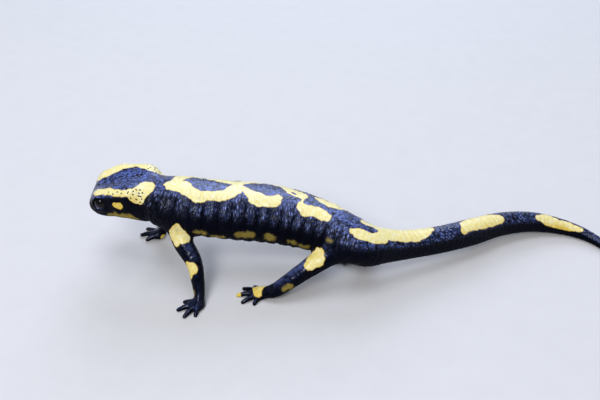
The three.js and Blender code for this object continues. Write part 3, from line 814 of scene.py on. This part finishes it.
# What the finish needs to know of each point: wrinkled, where the granules get painted glints, how much
# painted sheen, in a costal groove, and the painted light that makes the yellow pale or deep.
wrinkled = between(distance, 19, 97, 7) * np.clip((np.abs(arc) - 2) / 4, 0, 1) * (1 - on_leg)
# Where the granules carry painted glints and painted sheen: off the wrinkled flanks and the legs.
granule_glint_area = (1 - wrinkled) * (1 - on_leg)
on_patch = np.clip(1 - chains_gap(points, LEG_PATCHES), 0, 1)
# Painted light on the yellow: paler where the skin faces up, on the leg patches paler higher up, and deeper
# towards the tail.
leg_painted_light = 0.15 + 0.019 * points[:, 2]
body_painted_light = upward - 0.25 * np.clip((distance - 105) / 30, 0, 1)
painted_light_share = (1 - on_patch) * body_painted_light + on_patch * leg_painted_light
costal_groove = 1 - np.abs(np.sin(math.pi * (distance - COSTAL_START) / COSTAL_SPACING)) ** 1.5
# 1 on the costal lobes and lower in their grooves, which get less varnish and less painted sheen and glint, a
# painted shade.
lobe = 1 - 0.9 * costal_groove * between(distance, 22, 92, 4) * np.clip((np.abs(arc) - 3) / 4, 0, 1)
# Share of the painted blue sheen on the black: on the granular skin, less on the tail, a little on the legs,
# and on the wrinkled lobes.
painted_sheen_share = granule_glint_area * (1 - 0.65 * np.clip((distance - 95) / 20, 0, 1)) + 0.15 * on_leg
painted_sheen_share += 0.4 * wrinkled * lobe * np.clip((distance - 26) / 16, 0.2, 1)
# On the legs: how creased, and how much painted highlight, both less on the hands and feet.
leg_crease_and_sheen = on_leg * np.clip(points[:, 2] / 8, 0.65, 1)

points = points - normals * (PORE_DEPTH * np.exp(-(pore / PORE_SIZE) ** 2))[:, None]
points[:, 2] = np.maximum(points[:, 2], 0)
skin_mesh.vertices.foreach_set("co", (points * MM).ravel())
SKIN_VALUES = {"yellow": yellow, "dull": dull, "pore": pore, "wrinkled": wrinkled, "leg_crease_and_sheen": leg_crease_and_sheen,
               "granule_glint_area": granule_glint_area, "painted_sheen_share": painted_sheen_share, "lobe": lobe, "painted_light_share": painted_light_share, "ringed": ringed,
               "upward": upward}
for name, values in SKIN_VALUES.items():
    skin_mesh.attributes.new(name, "FLOAT", "POINT").data.foreach_set("value", values.astype(np.float32))
place_values = np.stack([distance, arc, np.zeros(len(points))], axis=1).astype(np.float32)
place_attribute = skin_mesh.attributes.new("skin_place", "FLOAT_VECTOR", "POINT")
place_attribute.data.foreach_set("vector", place_values.ravel())


# ---------------------------------------------------------------- skin: its finish
# Cast silicone rubber, painted black and yellow and sprayed from above with a wet clear varnish. Light is
# painted into the colour. The black has painted blue glints on its granules and on the crests of its
# wrinkles, and a painted blue sheen where it faces up, and is dull below. The yellow is painted paler where
# it faces up and deeper down the sides, as painted light and shade.

wet_skin, tree = new_material("wet varnished silicone skin")
SMOOTH = {"interpolation_type": "SMOOTHSTEP"}
TIMES = {"operation": "MULTIPLY"}
TIMES_PLUS = {"operation": "MULTIPLY_ADD"}
here = add_node(tree, "ShaderNodeTexCoord", {}, {}, "Object")
skin_place = add_node(tree, "ShaderNodeAttribute", {"attribute_name": "skin_place"}, {}, "Vector")
on_skin = {}
for name in SKIN_VALUES:
    on_skin[name] = add_node(tree, "ShaderNodeAttribute", {"attribute_name": name}, {}, "Fac")
# Where the skin faces up: there the painted light goes.
painted_light_above = add_node(tree, "ShaderNodeMapRange", SMOOTH, {
    "Value": on_skin["upward"], "From Min": 0.3, "From Max": 0.8})

# Granules 0.6 mm across, drawn a little coarser than the real ones. About half carry a painted blue glint,
# over a painted blue sheen 1.5 mm across, both only where the skin faces up.
granule = add_node(tree, "ShaderNodeTexVoronoi", {}, {"Vector": here, "Scale": scale_for(0.6)}, "Distance")
dome = add_node(tree, "ShaderNodeMapRange", SMOOTH, {"Value": granule, "From Min": 0.75, "From Max": 0.0})
granule_chance = add_node(tree, "ShaderNodeSeparateColor", {}, {"Color": granule.node.outputs["Color"]})
granule_glint_chance = add_node(tree, "ShaderNodeMapRange", SMOOTH, {
    "Value": granule_chance, "From Min": 0.4, "From Max": 1.0})
painted_granule_glint = add_node(tree, "ShaderNodeMath", TIMES, {0: dome, 1: granule_glint_chance})
painted_granule_glint = add_node(tree, "ShaderNodeMath", TIMES, {0: painted_granule_glint, 1: on_skin["granule_glint_area"]})
painted_granule_glint = add_node(tree, "ShaderNodeMath", TIMES, {0: painted_granule_glint, 1: painted_light_above})
painted_sheen = add_node(tree, "ShaderNodeTexNoise", {}, {
    "Vector": here, "Scale": scale_for(1.5), "Detail": 5.0, "Roughness": 0.7})
painted_sheen = add_node(tree, "ShaderNodeMapRange", SMOOTH, {"Value": painted_sheen, "From Min": 0.4, "From Max": 0.7})
painted_sheen = add_node(tree, "ShaderNodeMath", TIMES, {0: painted_sheen, 1: on_skin["painted_sheen_share"]})
painted_sheen = add_node(tree, "ShaderNodeMath", TIMES, {0: painted_sheen, 1: painted_light_above})

# Cross wrinkles of the flanks: short crests, with painted blue glints on them that are brighter in some
# places than in others and fainter in the costal grooves. On the legs: soft creases with a painted highlight
# along the top.
FOLD_WIDTH = 0.55
FOLD_LENGTH = 1.6
cloud = add_node(tree, "ShaderNodeTexNoise", {}, {"Vector": here, "Scale": scale_for(4.0), "Detail": 3.0})
fold_place = add_node(tree, "ShaderNodeVectorMath", TIMES, {
    0: skin_place, 1: (1 / FOLD_WIDTH, 1 / FOLD_LENGTH, 1.0)})
fold = add_node(tree, "ShaderNodeTexVoronoi", {}, {"Vector": fold_place, "Scale": 1.0}, "Distance")
crest = add_node(tree, "ShaderNodeMapRange", SMOOTH, {"Value": fold, "From Min": 0.6, "From Max": 0.12})
fold_chance = add_node(tree, "ShaderNodeSeparateColor", {}, {"Color": fold.node.outputs["Color"]})
fold_glint_chance = add_node(tree, "ShaderNodeMapRange", SMOOTH, {
    "Value": fold_chance, "From Min": 0.25, "From Max": 0.85})
crest = add_node(tree, "ShaderNodeMath", TIMES, {0: crest, 1: on_skin["wrinkled"]})
painted_crest_glint = add_node(tree, "ShaderNodeMath", TIMES, {0: crest, 1: fold_glint_chance})
painted_crest_glint = add_node(tree, "ShaderNodeMath", TIMES, {0: painted_crest_glint, 1: painted_light_above})
painted_crest_glint = add_node(tree, "ShaderNodeMath", TIMES, {0: painted_crest_glint, 1: on_skin["lobe"]})
glint_patches = add_node(tree, "ShaderNodeMapRange", SMOOTH, {
    "Value": cloud, "From Min": 0.38, "From Max": 0.6, "To Min": 0.5, "To Max": 1.0})
painted_crest_glint = add_node(tree, "ShaderNodeMath", TIMES, {0: painted_crest_glint, 1: glint_patches})
leg_fold = add_node(tree, "ShaderNodeTexNoise", {}, {"Vector": here, "Scale": scale_for(1.9), "Detail": 3.0})
leg_crest = add_node(tree, "ShaderNodeMath", TIMES, {0: leg_fold, 1: on_skin["leg_crease_and_sheen"]})
leg_highlight_ridge = add_node(tree, "ShaderNodeMapRange", SMOOTH, {
    "Value": on_skin["upward"], "From Min": 0.65, "From Max": 1.0})
leg_highlight_share = add_node(tree, "ShaderNodeMapRange", SMOOTH, {
    "Value": leg_crest, "From Min": 0.35, "From Max": 0.65, "To Max": 0.6})
leg_painted_highlight = add_node(tree, "ShaderNodeMath", TIMES, {0: leg_highlight_ridge, 1: leg_highlight_share})

# The painted edges of the markings wander by a quarter of a millimetre.
edge_noise = add_node(tree, "ShaderNodeTexNoise", {}, {
    "Vector": here, "Scale": scale_for(1.8), "Detail": 2.0})
yellow_wander = add_node(tree, "ShaderNodeMath", TIMES_PLUS, {0: edge_noise, 1: 1.3, 2: -0.65})
yellow_edge = add_node(tree, "ShaderNodeMath", {}, {0: on_skin["yellow"], 1: yellow_wander})
is_yellow = add_node(tree, "ShaderNodeMapRange", SMOOTH, {
    "Value": yellow_edge, "From Min": 0.08, "From Max": -0.08})
dull_wander = add_node(tree, "ShaderNodeMath", TIMES_PLUS, {0: edge_noise, 1: 2.4, 2: -1.2})
dull_edge = add_node(tree, "ShaderNodeMath", {}, {0: on_skin["dull"], 1: dull_wander})
is_dull = add_node(tree, "ShaderNodeMapRange", SMOOTH, {
    "Value": dull_edge, "From Min": 0.4, "From Max": -0.8})
is_pore = add_node(tree, "ShaderNodeMapRange", SMOOTH, {
    "Value": on_skin["pore"], "From Min": 0.32, "From Max": 0.18})

# The black with its painted light: a painted blue sheen, painted glints on the granules and on the wrinkle
# crests, and a painted highlight along the tops of the legs.
black = add_node(tree, "ShaderNodeMix", COLOURS, {"Factor": painted_sheen, 6: "#030305", 7: "#5566a8"}, 2)
black = add_node(tree, "ShaderNodeMix", COLOURS, {"Factor": painted_granule_glint, 6: black, 7: "#8291c8"}, 2)
black = add_node(tree, "ShaderNodeMix", COLOURS, {"Factor": painted_crest_glint, 6: black, 7: "#a8b7f4"}, 2)
black = add_node(tree, "ShaderNodeMix", COLOURS, {"Factor": leg_painted_highlight, 6: black, 7: "#7484c6"}, 2)

# The yellow takes the painted light: paler where the skin faces up and deeper down the sides. It is clouded
# over some 4 mm and mottled with a paler tone over 1 mm, the mottle strongest where the painted light is. It
# has painted shade in the rings of the tail, and is deeper along the rims of the markings.
light_and_cloud_share = add_node(tree, "ShaderNodeMath", {}, {0: on_skin["painted_light_share"], 1: cloud})
light_and_cloud_share = add_node(tree, "ShaderNodeMapRange", SMOOTH, {
    "Value": light_and_cloud_share, "From Min": 0.4, "From Max": 1.3})
gold = add_node(tree, "ShaderNodeMix", COLOURS, {"Factor": light_and_cloud_share, 6: "#e8c752", 7: "#f7e592"}, 2)
mottle = add_node(tree, "ShaderNodeTexNoise", {}, {"Vector": here, "Scale": scale_for(1.0), "Detail": 2.0})
mottle = add_node(tree, "ShaderNodeMapRange", SMOOTH, {
    "Value": mottle, "From Min": 0.42, "From Max": 0.7, "To Max": 0.7})
mottle = add_node(tree, "ShaderNodeMath", TIMES, {0: mottle, 1: light_and_cloud_share})
gold = add_node(tree, "ShaderNodeMix", COLOURS, {"Factor": mottle, 6: gold, 7: "#fcf3c4"}, 2)
# Painted shade in the fine rings of the tail.
ring_painted_shade = add_node(tree, "ShaderNodeMath", TIMES, {0: on_skin["ringed"], 1: 0.35})
gold = add_node(tree, "ShaderNodeMix", COLOURS, {"Factor": ring_painted_shade, 6: gold, 7: "#d9a63c"}, 2)
rim_share = add_node(tree, "ShaderNodeMapRange", SMOOTH, {
    "Value": yellow_edge, "From Min": -0.35, "From Max": 0.05})
gold = add_node(tree, "ShaderNodeMix", COLOURS, {"Factor": rim_share, 6: gold, 7: "#c39a34"}, 2)
skin_colour = add_node(tree, "ShaderNodeMix", COLOURS, {"Factor": is_dull, 6: black, 7: "#8d7a35"}, 2)
skin_colour = add_node(tree, "ShaderNodeMix", COLOURS, {"Factor": is_yellow, 6: skin_colour, 7: gold}, 2)
skin_colour = add_node(tree, "ShaderNodeMix", COLOURS, {"Factor": is_pore, 6: skin_colour, 7: "#17130c"}, 2)

roughness = add_node(tree, "ShaderNodeMapRange", SMOOTH, {
    "Value": on_skin["upward"], "From Min": -0.2, "From Max": 0.5, "To Min": 0.7, "To Max": 0.35})
varnish = add_node(tree, "ShaderNodeMapRange", SMOOTH, {
    "Value": on_skin["upward"], "From Min": 0.2, "From Max": 0.8, "To Min": 0.0, "To Max": 0.8})
varnish = add_node(tree, "ShaderNodeMath", TIMES, {0: varnish, 1: on_skin["lobe"]})

# Heights of the relief are in millimetres.
dome_height = add_node(tree, "ShaderNodeMapRange", {}, {
    "Value": on_skin["leg_crease_and_sheen"], "To Min": 0.07, "To Max": 0.015})
relief = add_node(tree, "ShaderNodeMath", TIMES, {0: dome, 1: dome_height})
relief = add_node(tree, "ShaderNodeMath", TIMES_PLUS, {0: crest, 1: 0.2, 2: relief})
relief = add_node(tree, "ShaderNodeMath", TIMES_PLUS, {0: leg_crest, 1: 0.03, 2: relief})
relief = add_node(tree, "ShaderNodeMath", TIMES_PLUS, {0: is_pore, 1: -0.1, 2: relief})
bumps = add_node(tree, "ShaderNodeBump", {}, {"Height": relief, "Distance": MM, "Strength": 1.0})

# Silicone has an index of about 1.4. It is 1.2 here, tinted blue, so that the sides stay a deep
# black, and the varnish over it has the usual 1.42.
skin_shader = add_node(tree, "ShaderNodeBsdfPrincipled", {}, {
    "Base Color": skin_colour, "Roughness": roughness, "IOR": 1.2, "Specular Tint": "#8ea4ff",
    "Coat Weight": varnish, "Coat Roughness": 0.13, "Coat IOR": 1.42, "Normal": bumps, "Coat Normal": bumps})
add_node(tree, "ShaderNodeOutputMaterial", {}, {"Surface": skin_shader})

skin_mesh.materials.clear()
skin_mesh.materials.append(wet_skin)
skin_mesh.polygons.foreach_set("use_smooth", [True] * len(skin_mesh.polygons))
skin_mesh.update()
skin = bpy.data.objects.new("skin", skin_mesh)
bpy.context.scene.collection.objects.link(skin)
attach(skin, "root")
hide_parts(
    "head", "neck", "torso", "pelvis", "tail_base", "tail_middle", "tail_rear", "tail_tip",
    *[f"{part}_{side}" for part in ("upper_arm", "forearm", "hand", "thigh", "shin", "foot")
      for side in ("left", "right")])


# ---------------------------------------------------------------- the eyes
# Glass taxidermy eyes, each set in the socket of its lids from the front: a clear front over an
# iris of such a dark brown that the eye looks black, with a sharp polished highlight.

glass_eye, tree = new_material("polished glass eye")
from_pupil = add_node(tree, "ShaderNodeAttribute", {"attribute_name": "from_pupil"}, {}, "Fac")
here = add_node(tree, "ShaderNodeTexCoord", {}, {}, "Object")
spokes = add_node(tree, "ShaderNodeTexNoise", {}, {"Vector": here, "Scale": scale_for(0.7), "Detail": 2.0})
iris = add_node(tree, "ShaderNodeMapRange", SMOOTH, {"Value": from_pupil, "From Min": 0.5, "From Max": 0.78})
iris = add_node(tree, "ShaderNodeMath", TIMES, {0: iris, 1: spokes})
iris_colour = add_node(tree, "ShaderNodeMix", COLOURS, {"Factor": iris, 6: "#030304", 7: "#1e130c"}, 2)
# Glass has an index of 1.5. It is 1.3 here, because the animal's own eye mirrors less.
glass = add_node(tree, "ShaderNodeBsdfPrincipled", {}, {
    "Base Color": iris_colour, "Roughness": 0.05, "IOR": 1.3})
add_node(tree, "ShaderNodeOutputMaterial", {}, {"Surface": glass})

FRONT_BULGE = 0.05
for name, eye in EYES.items():
    ball = bmesh.new()
    bmesh.ops.create_uvsphere(ball, u_segments=64, v_segments=40, radius=EYE_RADIUS)
    turned = Vector(eye["gaze"]).to_track_quat("Z", "Y").to_matrix()
    pupil_distance = []
    for vertex in ball.verts:
        away = math.hypot(vertex.co.x, vertex.co.y) / EYE_RADIUS
        if vertex.co.z > 0:
            vertex.co.z += FRONT_BULGE * math.exp(-(away / 0.7) ** 2)
        pupil_distance.append(away if vertex.co.z > 0 else 1.0)
        vertex.co = (turned @ vertex.co + Vector(eye["eye"])) * MM
    mesh = bpy.data.meshes.new(f"eye {name}")
    ball.to_mesh(mesh)
    ball.free()
    mesh.polygons.foreach_set("use_smooth", [True] * len(mesh.polygons))
    mesh.attributes.new("from_pupil", "FLOAT", "POINT").data.foreach_set("value", pupil_distance)
    mesh.materials.append(glass_eye)
    eyeball = bpy.data.objects.new(f"eyeball_{name}", mesh)
    bpy.context.scene.collection.objects.link(eyeball)
    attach(eyeball, "root")
    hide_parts(f"eye_{name}")
